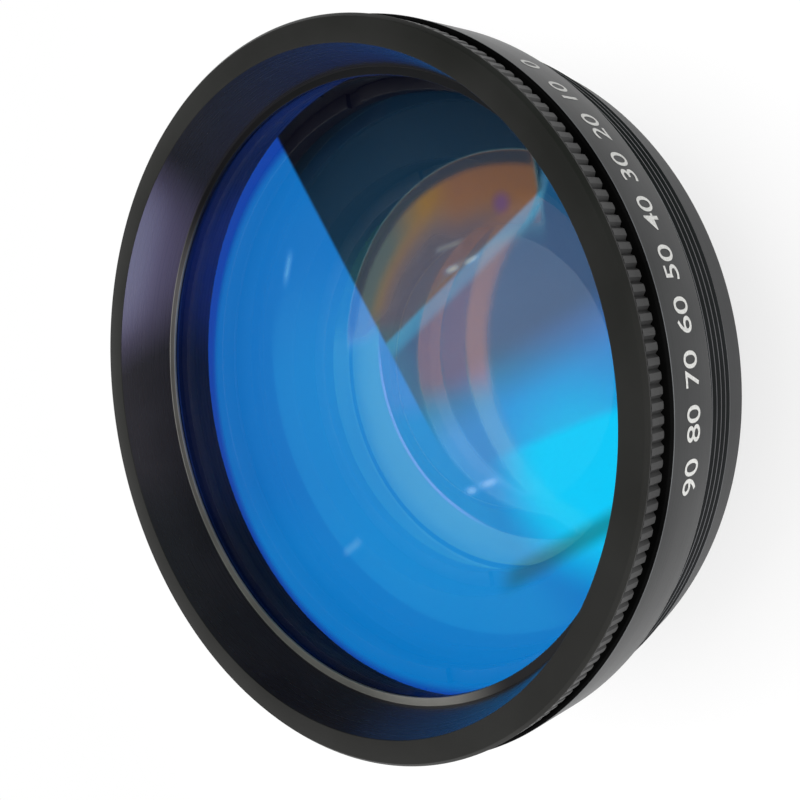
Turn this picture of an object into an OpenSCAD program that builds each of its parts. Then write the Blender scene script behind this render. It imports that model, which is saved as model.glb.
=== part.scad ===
// Scan lens for a galvo laser head: a stepped, black anodised barrel with an
// M85 x 1 mounting thread, three lenses, and a knurled front ring that carries
// a protective window. It stands on its rear end, and the mouth faces up.
// Depths are measured down from the front face of the knurled ring.

/* [Front ring] */
// How much smaller the knurled ring's diameter is than the plain band's
ring_under = 1; // [0.2:0.1:2]
// Height of the knurled head
ring_head_h = 3; // [2.5:0.1:3.2]
// Chamfer round the front face
ring_chamfer = 0.4; // [0.2:0.1:0.6]
// Plain edge left in front of the knurl
knurl_start = 0.6; // [0.4:0.1:1]
// Number of teeth in the straight knurl
knurl_teeth = 200; // [160:4:220]
// Depth of the knurl
knurl_depth = 0.45; // [0.3:0.05:0.5]
// Width of the flat front face, with its chamfer
face_w = 3.1; // [2.6:0.1:4]
// How far the conical mouth closes in from its rim to its floor, on each side
mouth_draft = 1.55; // [1.2:0.05:2]
// Depth of the conical mouth
mouth_depth = 7.3; // [6.5:0.1:7.5]
// Width of the lip at the floor of the mouth
lip_w = 0.95; // [0.8:0.05:1.6]
// Thickness of that lip
lip_t = 0.4; // [0.3:0.1:0.6]
// Wall of the neck between its outer thread and the window ring's thread
neck_wall = 1.5; // [1.3:0.1:1.8]
// Depth of the relief between the head and the neck's thread
neck_relief = 0.6; // [0.4:0.1:0.7]

/* [Barrel] */
// Gap between the knurled head and the barrel
barrel_gap = 0.7; // [0.5:0.1:1]
// Height of the band's step over the mounting thread
band_step = 1; // [0.8:0.1:2.5]
// Height of that band
band_h = 8.4; // [8:0.2:10]
// Chamfer at the front edge of the band
band_front_chamfer = 0.3; // [0.2:0.1:0.5]
// Chamfer at the rear edge of the band
band_rear_chamfer = 0.5; // [0.3:0.1:0.6]
// Major diameter of the mounting thread
mount_d = 85; // [82:0.5:90]
// Pitch of the mounting thread
mount_pitch = 1; // [0.75:0.25:1.25]
// Length of the mounting thread
mount_h = 5.4; // [5:0.2:7]
// Depth of the relief groove behind the band, below the thread's crests
relief_depth = 0.7; // [0.6:0.05:0.9]
// Width of that relief groove
relief_h = 1; // [0.8:0.1:1.2]
// How far the plain pilot behind the mounting thread lies below its crests
pilot_step = 0.8; // [0.7:0.05:1.2]
// Height and width of the large chamfer behind the pilot
pilot_chamfer = 2.5; // [2:0.1:3]
// Wall between the mounting thread's crests and the bore of the front lens
barrel_wall = 4.45; // [3.9:0.05:5.5]
// Thickness of the floor behind the front lens
floor_t = 2.8; // [2.6:0.1:3.6]
// Wall of the tail round the middle lens ring's thread
tail_wall = 2.5; // [2:0.1:4]
// How far that wall runs on past the rear lens seat
tail_over = 0.9; // [0.8:0.05:2]
// Wall of the tail's end round the rear lens ring's thread
tail_end_wall = 3.5; // [2.6:0.1:4]
// How far the barrel stands out past the rear retaining ring
rear_lip = 0.375; // [0.3:0.025:1.5]
// Chamfer on the steps of the tail
tail_chamfer = 0.5; // [0.3:0.1:0.8]

/* [Window] */
// Width of the ledge that the window lies on
window_ledge = 1.6; // [1.4:0.1:2]
// Thickness of the protective window
window_t = 2; // [1.5:0.1:2]
// Thickness of the flat gasket behind the window
gasket_t = 0.4; // [0.3:0.05:0.5]
// Height of its retaining ring's thread over the window's edge
window_thread_over = 0.5; // [0.4:0.05:0.6]
// Thickness of the window retaining ring
window_retainer_t = 1.4; // [1.2:0.1:1.4]

/* [Front lens] */
// Thickness of the front lens at its centre
front_lens_t = 10; // [9:0.1:10.5]
// Radius of its convex front surface
front_lens_r = 110; // [100:1:130]
// Air between the window retaining ring and the top of the front lens
front_lens_gap = 0.7; // [0.5:0.1:1]
// Thickness of its retaining ring
front_retainer_t = 2.2; // [2:0.1:3]
// Width of the lens's edge that the ring covers
front_lens_cover = 1.4; // [1.2:0.1:2]
// Cross-section of the soft ring between that ring and the lens
front_seal_w = 1; // [0.8:0.1:1.2]

/* [Middle lens] */
// Diameter of the middle lens
middle_lens_d = 57; // [54:0.5:64]
// Thickness of the middle lens at its centre
middle_lens_t = 8; // [7.6:0.1:8.2]
// Radius of its convex front surface
middle_front_r = 60; // [56:1:64]
// Radius of its concave rear surface
middle_rear_r = 120; // [110:1:140]
// Air between the front lens and the top of the middle lens
middle_lens_gap = 0.8; // [0.6:0.1:1]
// Thickness of its retaining ring
middle_retainer_t = 2; // [1.6:0.1:2.4]
// Width of the lens's edge that the ring covers
middle_lens_cover = 1.7; // [1.4:0.1:2]

/* [Rear lens] */
// Diameter of the rear lens
rear_lens_d = 42; // [38:0.5:47]
// Thickness of the rear lens at its centre
rear_lens_t = 2.5; // [2:0.1:2.8]
// Radius of its concave rear surface
rear_lens_r = 60; // [56:1:70]
// Thickness of the shim in front of the rear lens
shim_t = 0.3; // [0.2:0.05:0.4]
// Thickness of its retaining ring
rear_retainer_t = 1.8; // [1.5:0.1:2]
// Width of the lens's edge that the ring covers
rear_lens_cover = 1.5; // [1.2:0.1:2]

/* [Small parts] */
// Height of each lens ring's thread over the edge of its lens
lens_thread_over = 0.5; // [0.4:0.05:0.6]
// Web between the middle and rear lens seats
web_t = 1.4; // [1.2:0.1:1.8]
// Width of the flat rim ground on a concave lens
lens_rim = 1; // [0.8:0.1:1.4]
// Chamfer on the edges of the glass
lens_bevel = 0.25; // [0.15:0.05:0.35]
// Width of a lens seat
seat_w = 2; // [1.5:0.1:2.4]
// Cross-section height of the seal under the knurled head
seal_w = 1.4; // [1.2:0.1:1.5]
// Width of the spanner slots in the retaining rings
slot_w = 2.4; // [2:0.2:3]
// Diameter of the set screws that lock the rear retaining ring
screw_d = 2; // [1.6:0.2:2.4]
// Number of those set screws
screw_count = 3; // [2:1:4]
// Width across the flats of their sockets
screw_socket_w = 0.9; // [0.7:0.1:1]

/* [Fits] */
// Radial play round a lens in its bore
lens_play = 0.05; // [0.03:0.01:0.1]
// Radial play between two threads
thread_play = 0.05; // [0.03:0.01:0.1]

/* [Hidden] */

turned_fn = 240;     // segments round a turned part
optic_fn = 720;      // segments of a lens surface's section
cut = 0.5;           // how far a cutter runs past what it cuts

// Depths from the front face, in the order in which the light leaves the lens
window_top = mouth_depth + lip_t;
gasket_top = window_top + window_t;
window_retainer_top = gasket_top + gasket_t;
neck_end = window_retainer_top + window_retainer_t;
front_lens_top = neck_end + front_lens_gap;
front_lens_seat = front_lens_top + front_lens_t;
middle_lens_top = front_lens_seat + middle_lens_gap;
middle_lens_back = middle_lens_top + middle_lens_t;
middle_lens_seat = middle_lens_back + sag(middle_rear_r, middle_lens_d / 2 - lens_rim);
rear_lens_seat = middle_lens_seat + web_t;
rear_lens_top = rear_lens_seat + shim_t;
rear_lens_back = rear_lens_top + rear_lens_t + sag(rear_lens_r, rear_lens_d / 2 - lens_rim);
rear_retainer_end = rear_lens_back + rear_retainer_t;
length = rear_retainer_end + rear_lip;

// Diameters, from the mounting thread outwards and inwards
band_d = mount_d + 2 * band_step;
ring_d = band_d - ring_under;
relief_d = mount_d - 2 * relief_depth;
pilot_d = mount_d - 2 * pilot_step;
front_lens_d = mount_d - 2 * (barrel_wall + lens_play);
front_thread_d = front_lens_d + 2 * lens_thread_over;
front_retainer_bore = front_lens_d - 2 * front_lens_cover;
mouth_d = ring_d - 2 * face_w;
mouth_floor_d = mouth_d - 2 * mouth_draft;
lip_d = mouth_floor_d - 2 * lip_w;
window_d = lip_d + 2 * window_ledge;
window_thread_d = window_d + 2 * window_thread_over;
neck_thread_d = window_thread_d + 2 * neck_wall;
neck_relief_d = neck_thread_d - 2 * neck_relief;
middle_thread_d = middle_lens_d + 2 * lens_thread_over;
middle_retainer_bore = middle_lens_d - 2 * middle_lens_cover;
rear_thread_d = rear_lens_d + 2 * lens_thread_over;
rear_retainer_bore = rear_lens_d - 2 * rear_lens_cover;
tail_d = middle_thread_d + 2 * tail_wall;
tail_end_d = rear_thread_d + 2 * tail_end_wall;

// Depths of the steps on the outside of the barrel
band_top = ring_head_h + barrel_gap;
band_end = band_top + band_h;
mount_top = band_end + relief_h;
mount_end = mount_top + mount_h;
tail_top = front_lens_seat + floor_t;
pilot_end = tail_top - pilot_chamfer;
tail_end_top = rear_lens_seat + tail_over;

// Where the retaining rings press on the convex lenses
front_seal_r = front_lens_d / 2 - 0.6 * front_seal_w;
front_seal_mid = front_lens_top + sag(front_lens_r + 0.5 * front_seal_w, front_seal_r) - 0.5 * front_seal_w;
front_retainer_back = front_seal_mid - 0.5 * front_seal_w;
middle_retainer_back = middle_lens_top + sag(middle_front_r, middle_retainer_bore / 2);

seal_top = ring_head_h;
seal_floor = seal_top + seal_w;
seal_inner_r = neck_relief_d / 2;
seal_outer_r = seal_inner_r + seal_w;
thread_depth = 0.61 * mount_pitch;
slot_h = 0.8;        // depth of the spanner slots
neck_chamfer = 0.3;  // chamfer at the ends of the neck's thread
neck_runout = 0.2;   // plain length of the neck behind the seal
screw_recess = 0.4;  // how far a set screw lies below the surface
knurl_crest = 0.28;  // share of a tooth's pitch that its flat crest takes
screw_depth = rear_lens_back + 0.5 * rear_retainer_t;
screw_l = (tail_end_d - rear_thread_d) / 2 + thread_play;

// Height of a spherical surface's rim below its top
function sag(radius, r) = radius - sqrt(pow(radius, 2) - pow(r, 2));

// Turns a section of [radius, depth] points about the optical axis
module turn(section) {
    translate([0, 0, length])
        mirror([0, 0, 1])
            rotate_extrude($fn = turned_fn)
                polygon(section);
}

// A plain turned ring between two radii and two depths
module turned_ring(inner_r, outer_r, top, bottom) {
    turn([[inner_r, top], [outer_r, top], [outer_r, bottom], [inner_r, bottom]]);
}

// A solid disc between two depths
module disc(r, top, bottom) {
    translate([0, 0, length - bottom])
        cylinder(h = bottom - top, r = r, $fn = turned_fn);
}

// A ball of glass whose surface passes through a depth on the axis, bulging forward
module ball_below(radius, top) {
    translate([0, 0, length - top - radius])
        sphere(r = radius, $fn = optic_fn);
}

// The disc that a lens is ground from, with its edges bevelled
module lens_blank(d, top, bottom) {
    r = d / 2;
    turn([[0, top], [r - lens_bevel, top], [r, top + lens_bevel],
        [r, bottom - lens_bevel], [r - lens_bevel, bottom], [0, bottom]]);
}

// Two slots for a pin spanner, across the front or rear face of a retaining ring
module spanner_slots(outer_r, face) {
    translate([0, 0, length - face])
        cube([2 * outer_r + 2 * cut, slot_w, 2 * slot_h], center = true);
}

// What the straight knurl cuts away: a disc with a star-shaped hole, whose points
// run out past the ring's surface and leave a narrow crest on each tooth
module knurl_cutter_outline() {
    pitch = 360 / knurl_teeth;
    root_r = ring_d / 2 - knurl_depth;
    point_r = root_r + knurl_depth / (1 - knurl_crest);
    difference() {
        circle(r = ring_d / 2 + cut, $fn = turned_fn);
        polygon([for (i = [0 : knurl_teeth - 1], p = [[0, root_r], [0.5, point_r]])
            let (angle = (i + p[0]) * pitch) [p[1] * cos(angle), p[1] * sin(angle)]]);
    }
}

module front_ring() {
    face_r = ring_d / 2 - ring_chamfer;
    thread_r = neck_thread_d / 2 - thread_play;
    color([0.13, 0.13, 0.13])
        difference() {
            turn([[mouth_d / 2, 0], [face_r, 0], [ring_d / 2, ring_chamfer],
                [ring_d / 2, ring_head_h], [neck_relief_d / 2, ring_head_h],
                [neck_relief_d / 2, seal_floor + neck_runout], [thread_r, seal_floor + neck_runout + neck_chamfer],
                [thread_r, neck_end - neck_chamfer], [thread_r - neck_chamfer, neck_end],
                [window_thread_d / 2, neck_end], [window_thread_d / 2, window_retainer_top],
                [window_d / 2 + lens_play, window_retainer_top], [window_d / 2 + lens_play, window_top],
                [lip_d / 2, window_top], [lip_d / 2, mouth_depth], [mouth_floor_d / 2, mouth_depth]]);
            translate([0, 0, length - ring_head_h - cut])
                linear_extrude(height = ring_head_h - knurl_start + cut)
                    knurl_cutter_outline();
        }
}

module front_ring_seal() {
    color([0.05, 0.05, 0.05])
        turned_ring(seal_inner_r, seal_outer_r, seal_top, seal_floor);
}

module protective_window() {
    color([0.15, 0.5, 0.85, 0.5])
        lens_blank(window_d, window_top, gasket_top);
}

module window_gasket() {
    color([0.08, 0.08, 0.08])
        turned_ring(lip_d / 2 + 0.2, window_d / 2 - 0.2, gasket_top, window_retainer_top);
}

module window_retainer() {
    outer_r = window_thread_d / 2 - thread_play;
    color([0.12, 0.12, 0.12])
        difference() {
            turned_ring(lip_d / 2 + 0.2, outer_r, window_retainer_top, neck_end);
            spanner_slots(outer_r, neck_end);
        }
}

module front_lens_retainer() {
    outer_r = front_thread_d / 2 - thread_play;
    color([0.12, 0.12, 0.12])
        difference() {
            turned_ring(front_retainer_bore / 2, outer_r,
                front_retainer_back - front_retainer_t, front_retainer_back);
            spanner_slots(outer_r, front_retainer_back - front_retainer_t);
        }
}

module front_lens_seal() {
    color([0.06, 0.06, 0.06])
        translate([0, 0, length - front_seal_mid])
            rotate_extrude($fn = turned_fn)
                translate([front_seal_r, 0])
                    circle(d = front_seal_w, $fn = 48);
}

module front_lens() {
    color([0.2, 0.55, 0.9, 0.5])
        intersection() {
            lens_blank(front_lens_d, front_lens_top, front_lens_seat);
            ball_below(front_lens_r, front_lens_top);
        }
}

module middle_lens() {
    color([0.3, 0.6, 0.8, 0.5])
        difference() {
            intersection() {
                lens_blank(middle_lens_d, middle_lens_top, middle_lens_seat);
                ball_below(middle_front_r, middle_lens_top);
            }
            ball_below(middle_rear_r, middle_lens_back);
        }
}

module middle_lens_retainer() {
    outer_r = middle_thread_d / 2 - thread_play;
    color([0.12, 0.12, 0.12])
        difference() {
            turned_ring(middle_retainer_bore / 2, outer_r,
                middle_retainer_back - middle_retainer_t, middle_retainer_back);
            spanner_slots(outer_r, middle_retainer_back - middle_retainer_t);
        }
}

module rear_lens() {
    color([0.35, 0.6, 0.75, 0.5])
        difference() {
            lens_blank(rear_lens_d, rear_lens_top, rear_lens_back);
            ball_below(rear_lens_r, rear_lens_top + rear_lens_t);
        }
}

module rear_lens_shim() {
    color([0.6, 0.6, 0.6])
        turned_ring(rear_retainer_bore / 2, rear_lens_d / 2 - lens_bevel, rear_lens_seat, rear_lens_top);
}

module rear_lens_retainer() {
    outer_r = rear_thread_d / 2 - thread_play;
    color([0.12, 0.12, 0.12])
        difference() {
            turned_ring(rear_retainer_bore / 2, outer_r, rear_lens_back, rear_retainer_end);
            spanner_slots(outer_r, rear_retainer_end);
        }
}

// Places its children along each set screw, with +Z pointing out of the barrel
module at_screws() {
    for (i = [0 : screw_count - 1])
        translate([0, 0, length - screw_depth])
            rotate([0, 0, 90 + i * 360 / screw_count])
                rotate([0, 90, 0])
                    children();
}

module retainer_set_screws() {
    screw_base = rear_thread_d / 2 - thread_play;
    socket_h = 0.4 * screw_l;
    color([0.3, 0.3, 0.3])
        at_screws()
            difference() {
                translate([0, 0, screw_base])
                    cylinder(h = screw_l - screw_recess, d = screw_d - 2 * thread_play, $fn = 48);
                translate([0, 0, screw_base + screw_l - screw_recess - socket_h])
                    cylinder(h = socket_h + cut, d = screw_socket_w / cos(30), $fn = 6);
            }
}

// Everything that is bored out of the barrel, from the mouth down
module barrel_bores() {
    disc(seal_outer_r, band_top - cut, seal_floor);
    disc(neck_thread_d / 2, seal_floor - cut, neck_end);
    disc(front_thread_d / 2, neck_end - cut, front_retainer_back + front_seal_w);
    disc(front_lens_d / 2 + lens_play, front_retainer_back, front_lens_seat);
    disc(front_lens_d / 2 - seat_w, front_lens_seat - cut, middle_lens_top);
    disc(middle_thread_d / 2, middle_lens_top - cut, middle_retainer_back + 0.3);
    disc(middle_lens_d / 2 + lens_play, middle_retainer_back, middle_lens_seat);
    disc(rear_retainer_bore / 2, middle_lens_seat - cut, rear_lens_seat + cut);
    disc(rear_lens_d / 2 + lens_play, rear_lens_seat, length + cut);
    disc(rear_thread_d / 2, rear_lens_back - 0.4, length + cut);
    at_screws()
        translate([0, 0, rear_lens_d / 2])
            cylinder(h = tail_end_d / 2, d = screw_d, $fn = 48);
}

module barrel() {
    mount_r = mount_d / 2;
    color([0.11, 0.11, 0.11])
        difference() {
            turn([[0, band_top], [band_d / 2 - band_front_chamfer, band_top],
                [band_d / 2, band_top + band_front_chamfer], [band_d / 2, band_end - band_rear_chamfer],
                [band_d / 2 - band_rear_chamfer, band_end], [relief_d / 2, band_end],
                [relief_d / 2, mount_top - thread_depth / 2], [mount_r, mount_top],
                [mount_r, mount_end - thread_depth], [mount_r - thread_depth, mount_end],
                [pilot_d / 2, mount_end], [pilot_d / 2, pilot_end],
                [pilot_d / 2 - pilot_chamfer, tail_top], [tail_d / 2, tail_top],
                [tail_d / 2, tail_end_top - tail_chamfer], [tail_d / 2 - tail_chamfer, tail_end_top],
                [tail_end_d / 2, tail_end_top], [tail_end_d / 2, length - tail_chamfer],
                [tail_end_d / 2 - tail_chamfer, length], [0, length]]);
            barrel_bores();
        }
}

barrel();
front_ring();
front_ring_seal();
protective_window();
window_gasket();
window_retainer();
front_lens();
front_lens_seal();
front_lens_retainer();
middle_lens();
middle_lens_retainer();
rear_lens();
rear_lens_shim();
rear_lens_retainer();
retainer_set_screws();
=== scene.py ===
# F theta scan lens: anodised barrel, knurled front ring, coated window and the lenses behind it
# Depths are measured down from the front face of the knurled ring, along the optical axis (+Z up)
import math

import bmesh
import bpy
from mathutils import Matrix, Vector


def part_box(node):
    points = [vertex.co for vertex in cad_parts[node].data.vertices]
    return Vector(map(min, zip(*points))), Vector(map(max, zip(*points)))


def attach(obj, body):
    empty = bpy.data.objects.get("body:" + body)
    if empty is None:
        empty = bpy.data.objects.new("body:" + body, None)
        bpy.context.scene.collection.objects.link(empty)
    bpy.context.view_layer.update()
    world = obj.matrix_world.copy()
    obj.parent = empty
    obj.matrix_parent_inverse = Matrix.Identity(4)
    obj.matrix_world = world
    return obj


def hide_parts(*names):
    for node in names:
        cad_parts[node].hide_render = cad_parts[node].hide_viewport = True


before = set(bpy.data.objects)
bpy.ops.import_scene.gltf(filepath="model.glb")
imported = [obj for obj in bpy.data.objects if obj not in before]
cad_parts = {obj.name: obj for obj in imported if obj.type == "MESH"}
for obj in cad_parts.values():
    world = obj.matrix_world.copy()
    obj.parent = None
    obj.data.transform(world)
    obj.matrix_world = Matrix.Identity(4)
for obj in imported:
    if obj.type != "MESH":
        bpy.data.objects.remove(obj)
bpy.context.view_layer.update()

mm = 0.001
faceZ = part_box("front_ring")[1].z      # height of the front face
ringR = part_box("front_ring")[1].x      # over the knurl
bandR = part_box("barrel")[1].x          # over the plain band
smoothAngle = math.radians(35)         # edges sharper than this stay sharp
hair = 0.05                            # slack in mm for telling one face from the next


# ---------- small helpers: selecting, turning, cutting ----------

def atDepth(depth):
    return faceZ - depth * mm


def deselectAll():
    if bpy.context.mode != "OBJECT":
        bpy.ops.object.mode_set(mode="OBJECT")
    bpy.ops.object.select_all(action="DESELECT")


def makeActive(obj):
    deselectAll()
    obj.select_set(True)
    bpy.context.view_layer.objects.active = obj


def roundCorners(outline, radius, segments=3):
    # every corner of a closed (r, depth) outline gets a small arc, unless it is nearly straight
    nearlyStraight, share = math.radians(160), 0.42
    out = []
    count = len(outline)
    for i in range(count):
        here = Vector(outline[i])
        back = Vector(outline[i - 1]) - here
        on = Vector(outline[(i + 1) % count]) - here
        if back.length < 1e-6 or on.length < 1e-6:
            continue
        turn = back.angle(on)
        if turn > nearlyStraight:
            out.append(tuple(here))
            continue
        reach = min(radius / math.tan(turn / 2), share * back.length, share * on.length)
        start = here + back.normalized() * reach
        end = here + on.normalized() * reach
        for k in range(segments + 1):
            t = k / segments
            p = start * (1 - t) ** 2 + here * 2 * t * (1 - t) + end * t ** 2
            out.append((p.x, p.y))
    return out


def drawOutline(name, outline):
    # a plane is merged to one vertex, which is then extruded from point to point; left in edit mode
    deselectAll()
    bpy.ops.mesh.primitive_plane_add(size=mm, location=(0, 0, 0))
    obj = bpy.context.object
    obj.name = obj.data.name = name
    bpy.ops.object.mode_set(mode="EDIT")
    bpy.ops.mesh.select_all(action="SELECT")
    bpy.ops.mesh.merge(type="CENTER")
    points = [Vector((radius * mm, 0, atDepth(depth))) for radius, depth in outline]
    bpy.ops.transform.translate(value=points[0])
    for before, after in zip(points, points[1:]):
        bpy.ops.mesh.extrude_region_move(TRANSFORM_OT_translate={"value": after - before})
    return obj


def turnOutline(name, outline, steps=256):
    # the outline is closed and spun about the optical axis
    obj = drawOutline(name, outline)
    bm = bmesh.from_edit_mesh(obj.data)
    ends = [v for v in bm.verts if len(v.link_edges) == 1]
    for v in bm.verts:
        v.select = v in ends
    bm.select_flush(True)
    bmesh.update_edit_mesh(obj.data)
    bpy.ops.mesh.edge_face_add()
    bpy.ops.mesh.select_all(action="SELECT")
    bpy.ops.mesh.spin(steps=steps, angle=2 * math.pi, center=(0, 0, 0), axis=(0, 0, 1))
    bpy.ops.mesh.select_all(action="SELECT")
    bpy.ops.mesh.remove_doubles(threshold=1e-6)
    bpy.ops.mesh.select_all(action="SELECT")
    bpy.ops.mesh.normals_make_consistent(inside=False)
    bpy.ops.object.mode_set(mode="OBJECT")
    bpy.ops.object.shade_smooth_by_angle(angle=smoothAngle)
    return obj


def box(depthTop, depthBottom, sizeX, sizeY):
    deselectAll()
    bpy.ops.mesh.primitive_cube_add(size=1, location=(0, 0, (atDepth(depthTop) + atDepth(depthBottom)) / 2))
    cutter = bpy.context.object
    cutter.name = "cutter"
    cutter.scale = (sizeX * mm, sizeY * mm, (depthBottom - depthTop) * mm)
    bpy.ops.object.transform_apply(location=True, rotation=True, scale=True)
    return cutter


def cutAway(obj, cutter):
    makeActive(obj)
    mod = obj.modifiers.new("cut", "BOOLEAN")
    mod.object = cutter
    mod.operation = "DIFFERENCE"
    mod.solver = "EXACT"
    bpy.ops.object.modifier_apply(modifier=mod.name)
    bpy.data.objects.remove(cutter)


print("helpers ready, face at", round(faceZ / mm, 3), "mm")


# ---------- finishes ----------

zoneSoft = 0.3             # width in mm of a zone's edge, where the zone gives none
cloudScale = 90            # cells per metre of the clouds in a dye
reliefDepth = 0.02 * mm    # depth of lathe marks and grain at full strength


def newMaterial(name):
    mat = bpy.data.materials.new(name)
    mat.use_nodes = True
    return mat, mat.node_tree.nodes, mat.node_tree.links, mat.node_tree.nodes["Principled BSDF"]


def objectCoords(nodes):
    return nodes.new("ShaderNodeTexCoord").outputs["Object"]


def noise(nodes, links, coords, scale, detail=2):
    cloud = nodes.new("ShaderNodeTexNoise")
    cloud.inputs["Scale"].default_value = scale
    cloud.inputs["Detail"].default_value = detail
    links.new(coords, cloud.inputs["Vector"])
    return cloud.outputs["Fac"]


def bump(nodes, links, height, strength, under=None):
    relief = nodes.new("ShaderNodeBump")
    relief.inputs["Strength"].default_value = strength
    relief.inputs["Distance"].default_value = reliefDepth
    links.new(height, relief.inputs["Height"])
    if under:
        links.new(under, relief.inputs["Normal"])
    return relief.outputs["Normal"]


def turningMarks(nodes, links, coords, acrossRadius, alongAxis):
    # a noise that only changes with radius and height, as the marks of a lathe tool do
    split = nodes.new("ShaderNodeSeparateXYZ")
    links.new(coords, split.inputs[0])
    flat = nodes.new("ShaderNodeCombineXYZ")
    links.new(split.outputs["X"], flat.inputs["X"])
    links.new(split.outputs["Y"], flat.inputs["Y"])
    radius = nodes.new("ShaderNodeVectorMath")
    radius.operation = "LENGTH"
    links.new(flat.outputs[0], radius.inputs[0])
    both = nodes.new("ShaderNodeCombineXYZ")
    for source, factor, socket in ((radius.outputs["Value"], acrossRadius, "X"),
                                   (split.outputs["Z"], alongAxis, "Y")):
        stretch = nodes.new("ShaderNodeMath")
        stretch.operation = "MULTIPLY"
        stretch.inputs[1].default_value = factor
        links.new(source, stretch.inputs[0])
        links.new(stretch.outputs[0], both.inputs[socket])
    return noise(nodes, links, both.outputs[0], 1, 4)


def blendColours(nodes, links, factor, low, high):
    ramp = nodes.new("ShaderNodeValToRGB")
    ramp.color_ramp.elements[0].position, ramp.color_ramp.elements[0].color = low[0], (*low[1], 1)
    ramp.color_ramp.elements[1].position, ramp.color_ramp.elements[1].color = high[0], (*high[1], 1)
    links.new(factor, ramp.inputs["Fac"])
    return ramp.outputs["Color"]


def distanceFrom(nodes, links, coords, centre):
    # how far a point lies from a line along the optical axis through centre (x, y in mm)
    flat = nodes.new("ShaderNodeVectorMath")
    flat.operation = "MULTIPLY"
    flat.inputs[1].default_value = (1, 1, 0)
    links.new(coords, flat.inputs[0])
    away = nodes.new("ShaderNodeVectorMath")
    away.operation = "DISTANCE"
    away.inputs[1].default_value = (centre[0] * mm, centre[1] * mm, 0)
    links.new(flat.outputs[0], away.inputs[0])
    return away.outputs["Value"]


def along(nodes, links, coords, direction):
    # how far a point lies towards a direction
    dot = nodes.new("ShaderNodeVectorMath")
    dot.operation = "DOT_PRODUCT"
    dot.inputs[1].default_value = direction
    links.new(coords, dot.inputs[0])
    return dot.outputs["Value"]


def fade(nodes, links, value, nothingAt, fullAt):
    step = nodes.new("ShaderNodeMapRange")
    step.interpolation_type = "SMOOTHSTEP"
    step.inputs["From Min"].default_value = nothingAt
    step.inputs["From Max"].default_value = fullAt
    links.new(value, step.inputs["Value"])
    return step.outputs["Result"]


def times(nodes, links, first, second):
    if first is None:
        return second
    product = nodes.new("ShaderNodeMath")
    product.operation = "MULTIPLY"
    links.new(first, product.inputs[0])
    links.new(second, product.inputs[1])
    return product.outputs[0]


def blend(nodes, links, factor, low, high, kind="RGBA"):
    # low and high are each a colour, a number or an output
    mix = nodes.new("ShaderNodeMix")
    mix.data_type = kind
    links.new(factor, mix.inputs["Factor"])
    sockets = [i for i in mix.inputs if i.enabled and i.name in "AB"]
    for socket, value in zip(sockets, (low, high)):
        if isinstance(value, bpy.types.NodeSocket):
            links.new(value, socket)
        else:
            socket.default_value = (*value, 1) if kind == "RGBA" else value
    return [o for o in mix.outputs if o.enabled][0]


def zoneMask(nodes, links, coords, zone):
    # a zone lies within an outer circle, beyond an inner one and on the given sides;
    # soft is the width of its edge, all in mm
    mask = None
    soft = zone.get("soft", zoneSoft)
    if "outer" in zone:
        reach = distanceFrom(nodes, links, coords, zone["centre"])
        half = soft / 2 * mm
        mask = fade(nodes, links, reach, zone["outer"] * mm + half, zone["outer"] * mm - half)
    if "inner" in zone:
        reach = distanceFrom(nodes, links, coords, zone.get("innerCentre", zone["centre"]))
        half = zone.get("innerSoft", soft) / 2 * mm
        beyond = fade(nodes, links, reach, zone["inner"] * mm - half, zone["inner"] * mm + half)
        mask = times(nodes, links, mask, beyond)
    for direction, nothingAt, fullAt in zone.get("sides", ()):
        side = along(nodes, links, coords, (direction[0], direction[1], 0))
        mask = times(nodes, links, mask, fade(nodes, links, side, nothingAt * mm, fullAt * mm))
    return mask


def streak(start, end, width):
    # sides that close in a straight streak from start to end (x, y in mm)
    alongIt = (Vector(end) - Vector(start)).normalized()
    across = Vector((-alongIt.y, alongIt.x))
    middle = across.dot(Vector(start))
    first, last = alongIt.dot(Vector(start)), alongIt.dot(Vector(end))
    return ((tuple(alongIt), first - width, first + width), (tuple(-alongIt), -last - width, -last + width),
            (tuple(across), middle - width, middle), (tuple(-across), -middle - width, -middle))


def anodised(name, look):
    # dyed metal with faint clouds in its colour, lathe marks and a fine blasted grain; the zones of the mouth and lip
    # looks are painted highlight and painted shade
    mat, nodes, links, shader = newMaterial(name)
    coords = objectCoords(nodes)
    marks = turningMarks(nodes, links, coords, look["marksAcross"], look["marksAlong"])
    clouds = noise(nodes, links, coords, cloudScale, 5)
    body = blendColours(nodes, links, clouds, (0.35, look["dark"]), (0.65, look["light"]))
    for zone in look.get("zones", ()):
        body = blend(nodes, links, zoneMask(nodes, links, coords, zone), body, zone["colour"])
    links.new(body, shader.inputs["Base Color"])
    shader.inputs["Metallic"].default_value = look.get("metallic", 0.0)
    rough = nodes.new("ShaderNodeMapRange")
    rough.inputs["To Min"].default_value = look["roughness"] - look["roughnessSpread"]
    rough.inputs["To Max"].default_value = look["roughness"] + look["roughnessSpread"]
    links.new(marks, rough.inputs["Value"])
    links.new(rough.outputs["Result"], shader.inputs["Roughness"])
    ridges = bump(nodes, links, marks, look["marksStrength"])
    grain = noise(nodes, links, coords, look["grainScale"], 3)
    links.new(bump(nodes, links, grain, look["grainStrength"], ridges), shader.inputs["Normal"])
    shader.inputs["Specular IOR Level"].default_value = look["gloss"]
    if "sheen" in look:
        shader.inputs["Specular Tint"].default_value = (*look["sheen"], 1)
    return mat


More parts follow.
